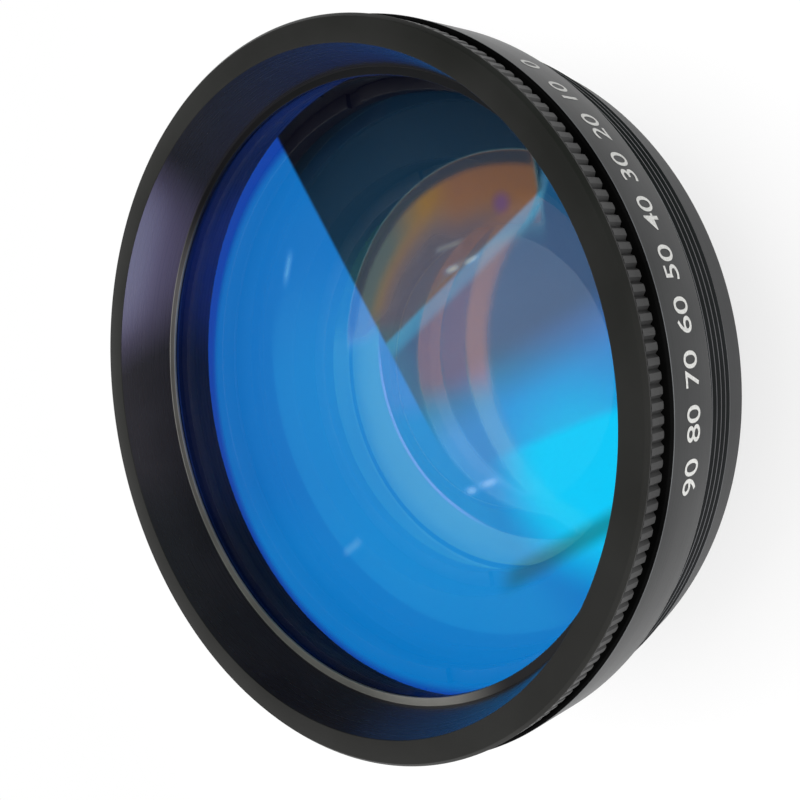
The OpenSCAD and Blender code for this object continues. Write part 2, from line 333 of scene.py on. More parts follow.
def coatedGlass(name, look):
    # a coat gives back its share of the light in its own colour and lets the rest through;
    # its zones are mostly painted reflections and glints: tinted rings and patches standing for what the coat and the
    # glass behind it reflect
    mat, nodes, links, shader = newMaterial(name)
    shader.inputs["Metallic"].default_value = look["metallic"]
    shader.inputs["Roughness"].default_value = look["roughness"]
    shader.inputs["Specular IOR Level"].default_value = look["gloss"]
    coords = objectCoords(nodes)
    colour, mirror = look["colour"], look["mirror"]
    for zone in look["zones"]:
        mask = zoneMask(nodes, links, coords, zone)
        colour = blend(nodes, links, mask, colour, zone["colour"])
        mirror = blend(nodes, links, mask, mirror, zone["mirror"], "FLOAT")
    if look["zones"]:
        links.new(colour, shader.inputs["Base Color"])
    else:
        shader.inputs["Base Color"].default_value = (*colour, 1)
    # a coat works on one side only, so light on its way out passes freely
    side = nodes.new("ShaderNodeNewGeometry")
    outside, inside = (0.0, mirror) if look.get("seenFromInside") else (mirror, 0.0)
    links.new(blend(nodes, links, side.outputs["Backfacing"], outside, inside, "FLOAT"), shader.inputs["Alpha"])
    return mat


bandLook = {
    "dark": (0.009, 0.009, 0.0095), "light": (0.016, 0.016, 0.0165), "roughness": 0.36, "roughnessSpread": 0.06,
    "gloss": 0.19, "marksAcross": 5000, "marksAlong": 9000, "marksStrength": 0.25,
    "grainScale": 9000, "grainStrength": 0.15, "sheen": (0.92, 0.99, 1.0),
}
ringLook = {
    "dark": (0.006, 0.006, 0.005), "light": (0.010, 0.010, 0.009), "roughness": 0.44, "roughnessSpread": 0.05,
    "gloss": 0.22, "marksAcross": 1500, "marksAlong": 1500, "marksStrength": 0.05,
    "grainScale": 11000, "grainStrength": 0.35,
}
sheenTurn = math.radians(53)
sheenSide = (math.cos(sheenTurn), math.sin(sheenTurn))
mouthLook = {
    "dark": (0.007, 0.007, 0.008), "light": (0.011, 0.011, 0.013), "roughness": 0.28, "roughnessSpread": 0.05,
    "gloss": 0.40, "sheen": (0.92, 0.85, 1.0), "marksAcross": 2000, "marksAlong": 6000, "marksStrength": 0.08,
    "grainScale": 9000, "grainStrength": 0.15,
    # painted highlight: a lilac sheen on one side of the cone, brightest towards its outer edge
    "zones": [{"sides": ((sheenSide, 36.0, 40.2),), "colour": (0.075, 0.066, 0.118)},
              {"centre": (0, 0), "inner": 39.2, "soft": 1.0, "sides": ((sheenSide, 37.6, 40.2),),
               "colour": (0.105, 0.105, 0.165)}],
}
lipLook = {
    "dark": (0.17, 0.165, 0.155), "light": (0.25, 0.245, 0.23), "roughness": 0.30, "roughnessSpread": 0.06,
    "gloss": 0.5, "metallic": 0.7, "marksAcross": 9000, "marksAlong": 3000, "marksStrength": 0.2,
    "grainScale": 9000, "grainStrength": 0.2,
    # painted shade: the lip is dark on the two sides that lie in the shadow of the mouth's wall
    "zones": [{"sides": (((1, 0), 16, 31),), "colour": (0.010, 0.010, 0.012)},
              {"sides": (((0, -1), 4, 16),), "colour": (0.010, 0.010, 0.012)}],
}
innerLook = {
    "dark": (0.008, 0.008, 0.009), "light": (0.016, 0.016, 0.017), "roughness": 0.48, "roughnessSpread": 0.05,
    "gloss": 0.5, "marksAcross": 4000, "marksAlong": 6000, "marksStrength": 0.3,
    "grainScale": 9000, "grainStrength": 0.2,
}
brassLook = dict(innerLook, dark=(0.42, 0.27, 0.09), light=(0.55, 0.37, 0.13), metallic=1.0, roughness=0.32)
screwLook = dict(innerLook, dark=(0.10, 0.10, 0.11), light=(0.16, 0.16, 0.17), metallic=1.0, roughness=0.38)
# painted light: the knurl gets a lighter copy of the ring's finish, though it is the same anodised metal
knurlLitCopyLook = dict(ringLook, dark=(0.008, 0.008, 0.008), light=(0.015, 0.015, 0.015), gloss=0.34)
threadLook = dict(bandLook, dark=(0.004, 0.004, 0.0045), light=(0.008, 0.008, 0.009), gloss=0.25, roughness=0.46)
# painted shade: a near-black copy of the thread's finish for the gap between the knurl and the band
gapShadeLook = dict(threadLook, dark=(0.001, 0.001, 0.001), light=(0.003, 0.003, 0.003), gloss=0.02, roughness=0.8)
# painted highlights: lighter copies of the band's finish for its edges and the crest of the thread
edgeHighlightLook = dict(bandLook, dark=(0.05, 0.052, 0.055), light=(0.09, 0.093, 0.096), gloss=0.4)
crestHighlightLook = dict(threadLook, dark=(0.030, 0.031, 0.034), light=(0.055, 0.057, 0.062), gloss=0.4)
pilotLook = dict(bandLook, dark=(0.006, 0.006, 0.007), light=(0.011, 0.011, 0.012), gloss=0.14)
bandFinish = anodised("bandAnodised", bandLook)
threadFinish = anodised("threadAnodised", threadLook)
ringFinish = anodised("ringAnodised", ringLook)
mouthFinish = anodised("mouthAnodised", mouthLook)
lipFinish = anodised("lipTurned", lipLook)
innerFinish = anodised("innerAnodised", innerLook)
pilotFinish = anodised("pilotAnodised", pilotLook)
knurlLitCopyFinish = anodised("knurlPaintedLight", knurlLitCopyLook)
gapShadeFinish = anodised("gapPaintedShade", gapShadeLook)
edgeHighlightFinish = anodised("paintedEdgeHighlight", edgeHighlightLook)
crestHighlightFinish = anodised("paintedCrestHighlight", crestHighlightLook)
brassFinish = anodised("thinBrass", brassLook)
screwFinish = anodised("blackenedSteel", screwLook)

windowLook = {
    "colour": (0.003, 0.30, 1.0), "mirror": 0.49, "metallic": 1.0, "roughness": 0.0, "gloss": 0.5,
    "zones": [
        # painted reflection tint: a little more cyan, with more mirror, towards one side
        {"sides": (((-1, 0), 8, 20),), "colour": (0.002, 0.33, 1.0), "mirror": 0.53},
        # painted reflection tint: deeper blue towards the rim, the colour the coat reflects at the slant the rim is
        # seen from
        {"centre": (-1.0, -6.8), "inner": 35.2, "soft": 1.6, "colour": (0.003, 0.10, 0.74), "mirror": 0.49},
        # painted reflection tint: a pale cyan patch with a stronger mirror, the colour the coat reflects where it is
        # seen nearly face on
        {"centre": (-12.0, -30.5), "outer": 8.5, "soft": 11.0, "colour": (0.005, 0.55, 1.0), "mirror": 0.72},
        {"centre": (-12.0, -30.5), "outer": 9.5, "soft": 9.0, "sides": (((-0.978, -0.209), 12.4, 13.9),),
         "colour": (0.005, 0.62, 1.0), "mirror": 0.92},
    ],
}

frontLensLook = {
    "colour": (0.10, 0.44, 0.95), "mirror": 0.085, "metallic": 0.0, "roughness": 0.5, "gloss": 0.0,
    "zones": [
        # clearer towards the rim
        {"centre": (0, 0), "inner": 35.2, "soft": 2.5, "sides": (((0, 1), -5, 12),),
         "colour": (0.05, 0.12, 0.30), "mirror": 0.05},
        # painted glints: pale streaks and dashes where light catches the glass
        {"sides": streak((12.5, -11.7), (12.8, -13.6), 0.8), "colour": (0.85, 1.0, 1.0), "mirror": 0.50},
        {"sides": streak((12.9, -14.3), (13.4, -16.2), 0.7), "colour": (0.85, 1.0, 1.0), "mirror": 0.44},
        {"sides": streak((15.3, -10.6), (15.6, -14.2), 0.7), "colour": (0.7, 0.9, 1.0), "mirror": 0.20},
        {"sides": streak((-13.8, -9.1), (-13.5, -10.6), 0.9), "colour": (0.7, 0.95, 1.0), "mirror": 0.55},
        {"sides": streak((-13.2, -11.4), (-12.7, -13.7), 0.9), "colour": (0.7, 0.95, 1.0), "mirror": 0.60},
        {"sides": streak((-21.1, 16.2), (-19.2, 11.6), 1.0), "colour": (0.5, 0.9, 1.0), "mirror": 0.24},
        {"sides": streak((21.2, 16.6), (17.4, 18.2), 1.3), "colour": (0.4, 0.9, 1.0), "mirror": 0.34},
    ],
}
crescentCentre = (0.1, -10.4)
crescentR = 26.9
greyReflectionCentre = (-17.6, -19.5)
greyReflectionR = 34.0
crescentEnd = ((0, 1), -21.3, -19.9)
frontLensRearLook = {
    "seenFromInside": True,
    "colour": (0.2, 0.8, 0.9), "mirror": 0.02, "metallic": 0.0, "roughness": 0.5, "gloss": 0.0,
    "zones": [
        # painted reflections of the faces and mounts behind: tinted rings and patches
        {"centre": (0.65, 0.06), "outer": 31.7, "soft": 0.8, "sides": (((1, 0), 24, 14), ((0, 1), -2, 9)),
         "colour": (0.20, 0.90, 1.0), "mirror": 0.07},
        {"centre": (1.9, -3.3), "outer": 35.7, "soft": 0.5, "sides": (((1, 0), 20, 4), ((0.5, -0.87), 1, -7)),
         "colour": (0.10, 0.90, 1.0), "mirror": 0.15},
        # painted reflection: a crescent in smoky amber, with olive at one end and brown at the other
        {"centre": crescentCentre, "outer": crescentR, "innerCentre": greyReflectionCentre, "inner": greyReflectionR, "soft": 0.5,
         "innerSoft": 2.0, "sides": (((1, 0), 5, 10), crescentEnd), "colour": (0.30, 0.28, 0.32), "mirror": 0.42},
        {"centre": crescentCentre, "outer": crescentR, "inner": 21.0, "soft": 0.5, "innerSoft": 6.0,
         "sides": (((1, 0), 8, 12), crescentEnd), "colour": (0.56, 0.28, 0.0), "mirror": 0.88},
        {"centre": crescentCentre, "outer": crescentR, "inner": 22.5, "soft": 0.5, "innerSoft": 2.5,
         "sides": (((0, 1), -4, 5), ((1, 0), 6, 10)), "colour": (0.24, 0.27, 0.20), "mirror": 0.66},
        {"centre": crescentCentre, "outer": crescentR, "inner": 19.0, "soft": 0.5, "innerSoft": 8.0,
         "sides": (((0, -1), 3, 9), ((1, 0), 12, 19), crescentEnd), "colour": (0.50, 0.21, 0.04), "mirror": 0.84},
        {"centre": (20.1, -15.1), "outer": 1.1, "soft": 1.8, "colour": (0.34, 0.14, 0.30), "mirror": 0.80},
        {"centre": crescentCentre, "outer": crescentR, "inner": crescentR - 1.6, "soft": 0.6, "innerSoft": 1.2,
         "sides": (((1, 0), 7, 11), crescentEnd), "colour": (0.12, 0.10, 0.07), "mirror": 0.60},
        # painted reflection: the pale line that closes its end
        {"centre": (26.7, -9.65), "outer": 13.8, "inner": 12.8, "soft": 0.7,
         "sides": (((0, -1), 16.2, 18.0), ((1, 0), 14, 16), ((1, 0), 23.5, 21.5)),
         "colour": (0.22, 0.46, 0.50), "mirror": 0.45},
    ],
}
middleLensLook = {
    "colour": (0.5, 0.5, 0.5), "mirror": 0.02, "metallic": 0.0, "roughness": 0.5, "gloss": 0.2, "zones": [],
}
lineCentre = (2.46, -6.6)
outerBand = {"centre": (0.2, -9.7), "outer": 21.1, "innerCentre": (0.7, -14.1), "inner": 20.4, "soft": 1.0}
darkBand = {"centre": (0.7, -14.1), "outer": 20.4, "innerCentre": (-0.1, -27.5), "inner": 29.2, "soft": 1.0}
innerBand = {"centre": (-0.1, -27.5), "outer": 29.2, "innerCentre": (-0.4, -28.4), "inner": 26.2, "soft": 1.2,
             "innerSoft": 2.4}
rosy = (((1, 0), -5, 1),)
lavender = (((-1, 0), -4, 2),)
middleLensRearLook = {
    "seenFromInside": True,
    "colour": (0.14, 0.44, 0.05), "mirror": 0.24, "metallic": 0.0, "roughness": 0.5, "gloss": 0.0,
    "zones": [
        # painted reflections of the faces and mounts behind; to the right, smoky brown
        {"centre": lineCentre, "outer": 26.3, "soft": 0.6, "sides": (((1, 0), -2, 5), ((0, -1), -14, -4)),
         "colour": (0.42, 0.22, 0.16), "mirror": 0.28},
        {"centre": lineCentre, "outer": 26.3, "innerCentre": outerBand["centre"], "inner": outerBand["outer"],
         "soft": 0.6, "sides": (((1, 0), -6, -1),), "colour": (0.50, 0.24, 0.12), "mirror": 0.28},
        # painted reflection: the ring round the inner glass
        {"centre": lineCentre, "inner": 26.3, "soft": 0.3, "sides": (((-1, 0), -14, -8),),
         "colour": (0.33, 0.64, 0.26), "mirror": 0.62},
        # painted reflections: fine rings, lavender low down and rosy higher up
        {**outerBand, "sides": lavender, "colour": (0.36, 0.66, 0.50), "mirror": 0.42},
        {**outerBand, "sides": rosy, "colour": (0.86, 0.28, 0.02), "mirror": 0.54},
        {**darkBand, "sides": rosy, "colour": (0.74, 0.20, 0.02), "mirror": 0.42},
        {**innerBand, "sides": lavender, "colour": (0.48, 0.86, 0.46), "mirror": 0.42},
        {**innerBand, "sides": rosy, "colour": (1.0, 0.38, 0.04), "mirror": 0.60},
        {"centre": (-0.4, -28.4), "outer": 26.2, "soft": 2.4, "sides": (((-1, 0), -3, 6),),
         "colour": (0.01, 0.62, 0.80), "mirror": 0.40},
        # painted reflection: pale violet line
        {"centre": lineCentre, "outer": 26.6, "inner": 26.0, "soft": 0.4,
         "sides": (((-1, 0), -9, -4), ((0, 1), 2, 10)), "colour": (0.80, 0.66, 0.95), "mirror": 0.66},
    ],
}
# painted shade: the rear lens is a nearly opaque dark blue coat that stands for the dark inside of the barrel behind
# it
rearLensLook = {
    "colour": (0.02, 0.06, 0.10), "mirror": 0.88, "metallic": 0.0, "roughness": 0.4, "gloss": 0.1, "zones": [],
}
bareLook = {
    "colour": (0.25, 0.55, 0.85), "mirror": 0.03, "metallic": 1.0, "roughness": 0.0, "gloss": 0.5, "zones": [],
}
windowCoat = coatedGlass("windowCoat", windowLook)
frontCoat = coatedGlass("frontLensCoat", frontLensLook)
frontRearCoat = coatedGlass("frontLensRearCoat", frontLensRearLook)
middleCoat = coatedGlass("middleLensCoat", middleLensLook)
middleRearCoat = coatedGlass("middleLensRearCoat", middleLensRearLook)
rearCoat = coatedGlass("rearLensCoat", rearLensLook)
bareGlass = coatedGlass("bareGlass", bareLook)


def speckled(name, look):
    mat, nodes, links, shader = newMaterial(name)
    grain = noise(nodes, links, objectCoords(nodes), look["grainScale"])
    body = blendColours(nodes, links, grain, (0.3, look["dark"]), (0.7, look["light"]))
    links.new(body, shader.inputs["Base Color"])
    shader.inputs["Roughness"].default_value = look["roughness"]
    return mat


rubberLook = {"dark": (0.012, 0.012, 0.012), "light": (0.022, 0.022, 0.022), "roughness": 0.75, "grainScale": 3000}
inkLook = {"dark": (0.34, 0.34, 0.33), "light": (0.48, 0.48, 0.46), "roughness": 0.6, "grainScale": 5000}
rubberFinish = speckled("blackRubber", rubberLook)
inkFinish = speckled("whiteInk", inkLook)
print("finishes ready")


def paint(obj, *materials):
    obj.data.materials.clear()
    for mat in materials:
        obj.data.materials.append(mat)


def paintWhere(obj, index, test):
    # test gets a face's centre as radius and depth in mm, and its normal
    for poly in obj.data.polygons:
        c = poly.center
        if test(math.hypot(c.x, c.y) / mm, (faceZ - c.z) / mm, poly.normal):
            poly.material_index = index


def place(obj, slotName, *nodes):
    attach(obj, "root")
    if nodes:
        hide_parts(*nodes)


# ---------- front ring with its knurl ----------

ring = {
    "faceOuterR": 42.6, "chamfer": 0.4, "headH": 3.0, "mouthR": 39.9, "mouthFloorR": 38.35, "mouthDepth": 7.3,
    "lipR": 37.4, "lipT": 0.4, "neckReliefR": 40.4, "reliefEnd": 4.7, "neckStart": 5.2, "neckR": 40.95,
    "neckEnd": 11.5, "windowR": 39.05, "windowThreadR": 39.5, "windowBack": 10.1, "edgeRound": 0.1,
    "knurlStart": 0.6, "teeth": 200, "toothDepth": 0.36, "toothRound": 0.12, "columnsPerTooth": 4,
    "flankHeight": 0.92, "rootSlack": 0.012, "startSlack": 0.015, "ledge": 0.02, "lipEdge": 0.12, "lipReach": 0.3,
    "smoothBelow": 30,
}


def makeFrontRing():
    r = ring
    rootR = ringR / mm - r["toothDepth"]
    columns = r["columnsPerTooth"] * r["teeth"]
    outline = roundCorners([
        (r["mouthR"], 0), (r["faceOuterR"], 0), (ringR / mm, r["chamfer"]), (ringR / mm, r["knurlStart"]),
        (rootR, r["knurlStart"] + r["ledge"]), (rootR, r["headH"] - r["toothRound"]), (rootR, r["headH"]),
        (r["neckReliefR"], r["headH"]), (r["neckReliefR"], r["reliefEnd"]), (r["neckR"], r["neckStart"]),
        (r["neckR"], r["neckEnd"]), (r["windowThreadR"], r["neckEnd"]), (r["windowThreadR"], r["windowBack"]),
        (r["windowR"], r["windowBack"]), (r["windowR"], r["mouthDepth"] + r["lipT"]),
        (r["lipR"], r["mouthDepth"] + r["lipT"]), (r["lipR"], r["mouthDepth"]),
        (r["mouthFloorR"], r["mouthDepth"])], r["edgeRound"])
    obj = turnOutline("front_ring_knurled", outline, steps=columns)
    # the columns between the roots are moved out to make the teeth
    bpy.ops.object.mode_set(mode="EDIT")
    bm = bmesh.from_edit_mesh(obj.data)
    knurlTop = atDepth(r["knurlStart"] + r["startSlack"])
    knurlEnd = atDepth(r["headH"] - 0.5 * r["toothRound"])
    for share, moved in ((1.0, (2,)), (r["flankHeight"], (1, 3))):
        for v in bm.verts:
            column = round(math.atan2(v.co.y, v.co.x) / (2 * math.pi) * columns) % r["columnsPerTooth"]
            atRoot = abs(math.hypot(v.co.x, v.co.y) - rootR * mm) < r["rootSlack"] * mm
            v.select = atRoot and knurlEnd < v.co.z < knurlTop and column in moved
        bm.select_flush(True)
        bmesh.update_edit_mesh(obj.data)
        grow = 1 + share * r["toothDepth"] / rootR
        bpy.ops.transform.resize(value=(grow, grow, 1), center_override=(0, 0, 0))
    bpy.ops.object.mode_set(mode="OBJECT")
    bpy.ops.object.shade_smooth_by_angle(angle=math.radians(r["smoothBelow"]))

    def onCone(radius, depth, normal):
        return (r["mouthFloorR"] - 2 * hair < radius < r["mouthR"] + hair
                and 2 * hair < depth < r["mouthDepth"] - hair)

    def onLip(radius, depth, normal):
        return (r["lipR"] - hair < radius < r["mouthFloorR"] + r["lipEdge"]
                and abs(depth - r["mouthDepth"]) < r["lipReach"] and normal.z > -0.2)

    def onKnurl(radius, depth, normal):
        return radius > rootR - hair and r["knurlStart"] - 2 * hair < depth < r["headH"] - 4 * hair

    # the cone gets a painted highlight, the lip painted shade, and the knurl a lighter copy of the ring's finish,
    # which is painted light
    paint(obj, ringFinish, mouthFinish, lipFinish, knurlLitCopyFinish)
    for index, test in enumerate((onCone, onLip, onKnurl), start=1):
        paintWhere(obj, index, test)
    place(obj, "ring_anodised", "front_ring")


makeFrontRing()
print("front ring done")


# ---------- barrel with its mounting thread ----------

barrel = {
    "gapEnd": 3.7, "bandEnd": 12.1, "frontChamfer": 0.3, "rearChamfer": 0.5, "threadR": 42.5, "threadEnd": 18.5,
    "pitch": 1.0, "reliefR": 41.8, "reliefEnd": 13.1, "pilotR": 41.7, "pilotEnd": 22.5, "pilotChamfer": 2.5,
    "tailR": 31.5, "tailEnd": 36.49, "endR": 25.0, "tailChamfer": 0.5, "edgeRound": 0.12,
    "sealR": 41.8, "sealFloor": 4.4, "neckR": 41.0, "neckEnd": 11.5, "frontThreadR": 38.5, "frontThreadEnd": 18.45,
    "frontBoreR": 38.05, "frontSeat": 22.2, "frontSeatR": 36.0, "floor": 23.0, "middleThreadR": 29.0,
    "middleThreadEnd": 30.3, "middleBoreR": 28.55, "middleSeat": 34.19, "webR": 19.5, "rearSeat": 35.59,
    "rearBoreR": 21.05, "rearThreadR": 21.5, "rearThread": 41.43, "length": 44.0,
    "reliefSlope": 0.1, "crestHighlightDepth": 0.06,
    "inkRoom": 0.03,      # the band lies this far under the printed numbers
}
# the thread's ridge: its height, its half widths at root and crest as shares of the pitch,
# how far its foot reaches below that height (it ends 0.03 mm short of the groove's floor, and has no
# underside), and how it rises at its start and falls at its end
ridgeForm = {
    "height": 0.61, "rootHalf": 0.46, "crestHalf": 0.08, "footDrop": 0.06, "steps": 240,
    "startHeight": 0.3, "startSlope": 1.6, "endHeight": 0.05, "smoothBelow": 20,
}


def makeRidge(rootR):
    # one pitch of the ridge is swept down the helix, then trimmed and tapered at both ends
    b, form = barrel, ridgeForm
    crestR, pitch = b["threadR"], b["pitch"]
    top = b["reliefEnd"] - pitch
    ridge = drawOutline("ridge", [
        (rootR, top - form["rootHalf"] * pitch), (crestR, top - form["crestHalf"] * pitch),
        (crestR, top + form["crestHalf"] * pitch), (rootR, top + form["rootHalf"] * pitch)])
    bpy.ops.object.mode_set(mode="OBJECT")
    screw = ridge.modifiers.new("helix", "SCREW")
    screw.axis = "Z"
    screw.angle = 2 * math.pi
    screw.screw_offset = -pitch * mm
    screw.iterations = math.ceil((b["threadEnd"] - b["reliefEnd"]) / pitch) + 1
    screw.steps = screw.render_steps = form["steps"]
    screw.use_merge_vertices = False
    bpy.ops.object.modifier_apply(modifier=screw.name)
    bpy.ops.object.mode_set(mode="EDIT")
    for depth, keepBelow in ((b["reliefEnd"], True), (b["threadEnd"], False)):
        bpy.ops.mesh.select_all(action="SELECT")
        bpy.ops.mesh.bisect(plane_co=(0, 0, atDepth(depth)), plane_no=(0, 0, 1), use_fill=False,
                            clear_outer=keepBelow, clear_inner=not keepBelow)
    bm = bmesh.from_edit_mesh(ridge.data)
    for v in bm.verts:
        radius = math.hypot(v.co.x, v.co.y) / mm
        depth = (faceZ - v.co.z) / mm
        limit = min(crestR, rootR + form["endHeight"] + max(0, b["threadEnd"] - depth),
                    rootR + form["startHeight"] + max(0, depth - b["reliefEnd"]) * form["startSlope"])
        if radius > limit:
            v.co.x *= limit / radius
            v.co.y *= limit / radius
    bmesh.update_edit_mesh(ridge.data)
    bpy.ops.mesh.select_all(action="SELECT")
    bpy.ops.mesh.normals_make_consistent(inside=False)
    bpy.ops.object.mode_set(mode="OBJECT")
    bpy.ops.object.shade_smooth_by_angle(angle=math.radians(form["smoothBelow"]))
    return ridge


def makeBarrel():
    b = barrel
    bandEnd = b["bandEnd"]
    outer = bandR / mm - b["inkRoom"]
    pilotFoot = b["pilotEnd"] + b["pilotChamfer"]
    outline = roundCorners([
        (b["sealR"], b["gapEnd"]), (outer - b["frontChamfer"], b["gapEnd"]), (outer, b["gapEnd"] + b["frontChamfer"]),
        (outer, bandEnd - b["rearChamfer"]), (outer - b["rearChamfer"], bandEnd), (b["reliefR"], bandEnd),
        (b["reliefR"], b["threadEnd"] - b["reliefSlope"]), (b["pilotR"], b["threadEnd"]),
        (b["pilotR"], b["pilotEnd"]), (b["pilotR"] - b["pilotChamfer"], pilotFoot), (b["tailR"], pilotFoot),
        (b["tailR"], b["tailEnd"] - b["tailChamfer"]), (b["tailR"] - b["tailChamfer"], b["tailEnd"]),
        (b["endR"], b["tailEnd"]), (b["endR"], b["length"] - b["tailChamfer"]),
        (b["endR"] - b["tailChamfer"], b["length"]), (b["rearThreadR"], b["length"]),
        (b["rearThreadR"], b["rearThread"]), (b["rearBoreR"], b["rearThread"]), (b["rearBoreR"], b["rearSeat"]),
        (b["webR"], b["rearSeat"]), (b["webR"], b["middleSeat"]), (b["middleBoreR"], b["middleSeat"]),
        (b["middleBoreR"], b["middleThreadEnd"]), (b["middleThreadR"], b["middleThreadEnd"]),
        (b["middleThreadR"], b["floor"]), (b["frontSeatR"], b["floor"]), (b["frontSeatR"], b["frontSeat"]),
        (b["frontBoreR"], b["frontSeat"]), (b["frontBoreR"], b["frontThreadEnd"]),
        (b["frontThreadR"], b["frontThreadEnd"]), (b["frontThreadR"], b["neckEnd"]), (b["neckR"], b["neckEnd"]),
        (b["neckR"], b["sealFloor"]), (b["sealR"], b["sealFloor"])], b["edgeRound"])
    core = turnOutline("barrel_with_thread", outline, steps=360)
    ridge = makeRidge(b["threadR"] - ridgeForm["height"] * b["pitch"] - ridgeForm["footDrop"])
    makeActive(core)
    ridge.select_set(True)
    bpy.ops.object.join()

    def inBore(radius, depth, normal):
        return radius < b["frontThreadR"] + 2 * hair and depth > b["neckEnd"] + 2 * hair

    def roundSeal(radius, depth, normal):
        return depth < b["neckEnd"] and (radius < b["sealR"] + 2 * hair or normal.z > 0.8)

    def onThread(radius, depth, normal):
        return radius > b["threadR"] - b["pitch"] and bandEnd + hair < depth < b["threadEnd"]

    # painted shade: the band's front face, in the gap under the knurl, gets the near-black finish
    def inGap(radius, depth, normal):
        return depth < b["gapEnd"] + 4 * hair and normal.z > 0.3

    def onBandEdge(radius, depth, normal):
        front = normal.z > 0.1 and depth > b["gapEnd"] + 4 * hair
        rear = depth > bandEnd - b["rearChamfer"] - 2 * hair
        return radius > outer - b["frontChamfer"] - hair and b["gapEnd"] < depth < bandEnd and (front or rear)

    def onCrest(radius, depth, normal):
        return radius > b["threadR"] - b["crestHighlightDepth"] and b["reliefEnd"] < depth < b["threadEnd"]

    def behindThread(radius, depth, normal):
        return radius > b["endR"] - 1 and depth > b["threadEnd"]

    # painted highlights: the edges of the band and the crest of the thread are lighter, as where they catch the light
    paint(core, bandFinish, innerFinish, threadFinish, pilotFinish, gapShadeFinish, edgeHighlightFinish, crestHighlightFinish)
    for index, test in ((1, inBore), (1, roundSeal), (2, onThread), (4, inGap), (5, onBandEdge), (6, onCrest),
                        (3, behindThread)):
        paintWhere(core, index, test)
    place(core, "barrel_anodised", "barrel")


makeBarrel()
print("barrel done")


# ---------- glass ----------

def makeDisc(name, outline, coats, frontAbove, slotName, node):
    # faces that point up by less than frontAbove get the second coat
    obj = turnOutline(name, outline)
    paint(obj, *coats)
    paintWhere(obj, 1, lambda radius, depth, normal: normal.z < frontAbove)
    place(obj, slotName, node)


def flatFront(glass):
    front = glass["top"]
    return [(0, front), (glass["r"] - glass["bevel"], front), (glass["r"], front + glass["bevel"])]


def flatRear(glass):
    back = glass["top"] + glass["thickness"]
    return [(glass["r"], back - glass["bevel"]), (glass["r"] - glass["bevel"], back), (0, back)]


def dome(curveR, top, edgeR, count=24):
    # a spherical surface from the axis to its edge; top is its depth on the axis
    points = []
    for i in range(count + 1):
        radius = edgeR * i / count
        points.append((radius, top + curveR - math.sqrt(curveR ** 2 - radius ** 2)))
    return points


def hollowRear(glass):
    # a curved rear face that ends at a flat rim
    curve = dome(glass["rearR"], glass["top"] + glass["thickness"], glass["r"] - glass["rim"])[::-1]
    back = curve[0][1]
    return [(glass["r"], back - glass["bevel"]), (glass["r"] - glass["bevel"], back)] + curve


window = {"r": 39.0, "top": 7.7, "thickness": 2.0, "bevel": 0.25}
frontLens = {"r": 38.0, "top": 12.2, "thickness": 10.0, "frontR": 110.0, "bevel": 0.25}
middleLens = {"r": 28.5, "top": 23.0, "thickness": 8.0, "frontR": 60.0, "rearR": 120.0, "rim": 1.0, "bevel": 0.25}
rearLens = {"r": 21.0, "top": 35.89, "thickness": 2.5, "rearR": 60.0, "rim": 1.0, "bevel": 0.25}

makeDisc("window_glass", flatFront(window) + flatRear(window), (windowCoat, bareGlass), 0.5,
         "coated_window", "protective_window")
makeDisc("front_lens_glass", dome(frontLens["frontR"], frontLens["top"], frontLens["r"]) + flatRear(frontLens),
         (frontCoat, frontRearCoat), 0.3, "lens_glass", "front_lens")
makeDisc("middle_lens_glass",
         dome(middleLens["frontR"], middleLens["top"], middleLens["r"]) + hollowRear(middleLens),
         (middleCoat, middleRearCoat), 0.3, "lens_glass", "middle_lens")
makeDisc("rear_lens_glass", flatFront(rearLens) + hollowRear(rearLens), (rearCoat, bareGlass), 0.3,
         "lens_glass", "rear_lens")
print("glass done")


# ---------- retaining rings ----------

retainers = [
    # name, node, inner and outer radius, whether the spanner slots are in its front face
    ("window_retaining_ring", "window_retainer", 37.6, 39.45, False),
    ("front_lens_retaining_ring", "front_lens_retainer", 36.6, 38.45, True),
    ("middle_lens_retaining_ring", "middle_lens_retainer", 26.8, 28.95, True),
    ("rear_lens_retaining_ring", "rear_lens_retainer", 19.5, 21.45, False),
]
spannerSlot = {"width": 2.4, "depth": 0.8, "past": 4, "edgeRound": 0.15}
for name, node, innerR, outerR, slotsInFront in retainers:
    nodeLow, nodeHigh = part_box(node)
    top, bottom = (faceZ - nodeHigh.z) / mm, (faceZ - nodeLow.z) / mm
    turned = turnOutline(name, roundCorners(
        [(innerR, top), (outerR, top), (outerR, bottom), (innerR, bottom)], spannerSlot["edgeRound"]))
    slotFace = top if slotsInFront else bottom
    cutAway(turned, box(slotFace - spannerSlot["depth"], slotFace + spannerSlot["depth"],
                        2 * outerR + spannerSlot["past"], spannerSlot["width"]))
    bpy.ops.object.shade_smooth_by_angle(angle=smoothAngle)
    paint(turned, innerFinish)
    place(turned, "inner_anodised", node)
print("retaining rings done")

# pieces that stay as they are and only get their finish
for node, finish, slotName in (("front_ring_seal", rubberFinish, "black_rubber"),
                               ("window_gasket", rubberFinish, "black_rubber"),
                               ("front_lens_seal", rubberFinish, "black_rubber"),
                               ("rear_lens_shim", brassFinish, "shim_brass"),
                               ("retainer_set_screws", screwFinish, "screw_steel")):
    paint(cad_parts[node], finish)


# ---------- plain-number scale on the band ----------

# the numbers are a sheet without thickness, just clear of the band
scale = {
    "from": -47.0, "to": -108.0, "height": 2.7, "sizePerHeight": 1.38, "depthMid": 7.9, "sunk": 0.005,
    "first": 0, "step": 10, "count": 10, "bold": 0.02,
}


